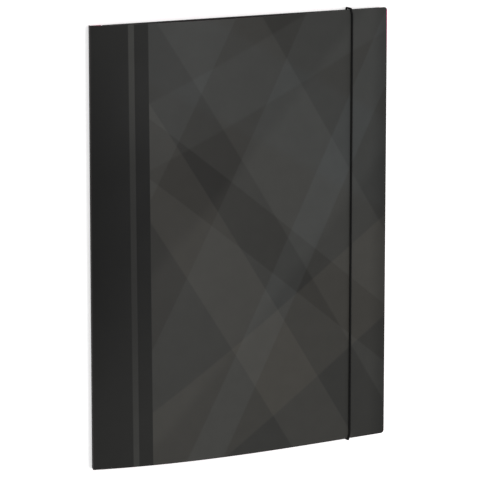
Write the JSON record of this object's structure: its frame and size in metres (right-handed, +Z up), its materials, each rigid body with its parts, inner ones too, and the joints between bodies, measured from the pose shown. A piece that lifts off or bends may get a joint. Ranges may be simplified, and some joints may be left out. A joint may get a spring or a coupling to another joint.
{
  "type": "three flap folder",
  "caption": "Closed A4 document folder of dark printed plastic sheet with a bowed hinged cover, folded-in inner flaps and a round elastic cord.",
  "frame": {"origin": "middle of the closed folder's outline, on the table it lies on", "axes": "+X from the spine to the fore edge, +Y from the foot to the head, +Z up out of the front cover"},
  "size_m": [0.24, 0.3234, 0.016],
  "materials": {
    "plain_sheet": "fine matt polypropylene sheet, dark outside and pink inside",
    "printed_sheet": "fine matt polypropylene sheet with a tone on tone print outside and pink inside",
    "elastic": "black woven round elastic cord",
    "stop_metal": "plain pressed metal"
  },
  "bodies": {
    "back": {"back_cover_and_flaps": "plain_sheet", "elastic_cord": "elastic", "cord_stop_head": "stop_metal", "cord_stop_foot": "stop_metal"},
    "spine": {"spine": "printed_sheet"},
    "cover": {"front_cover": "printed_sheet"}
  },
  "joints": [
    {"name": "spine_fold", "type": "hinge", "parent": "back", "child": "spine", "pos_m": [-0.1182, 0, 0.0003], "axis": [0, -1, 0], "range_deg": [0, 72]},
    {"name": "cover_fold", "type": "hinge", "parent": "spine", "child": "cover", "pos_m": [-0.1197, 0, 0.0052], "axis": [0, -1, 0], "range_deg": [0, 95], "deforming": ["elastic_cord"]}
  ],
  "couplings": [
    {"joint": "spine_fold", "follows": "cover_fold", "ratio": 0.75}
  ]
}
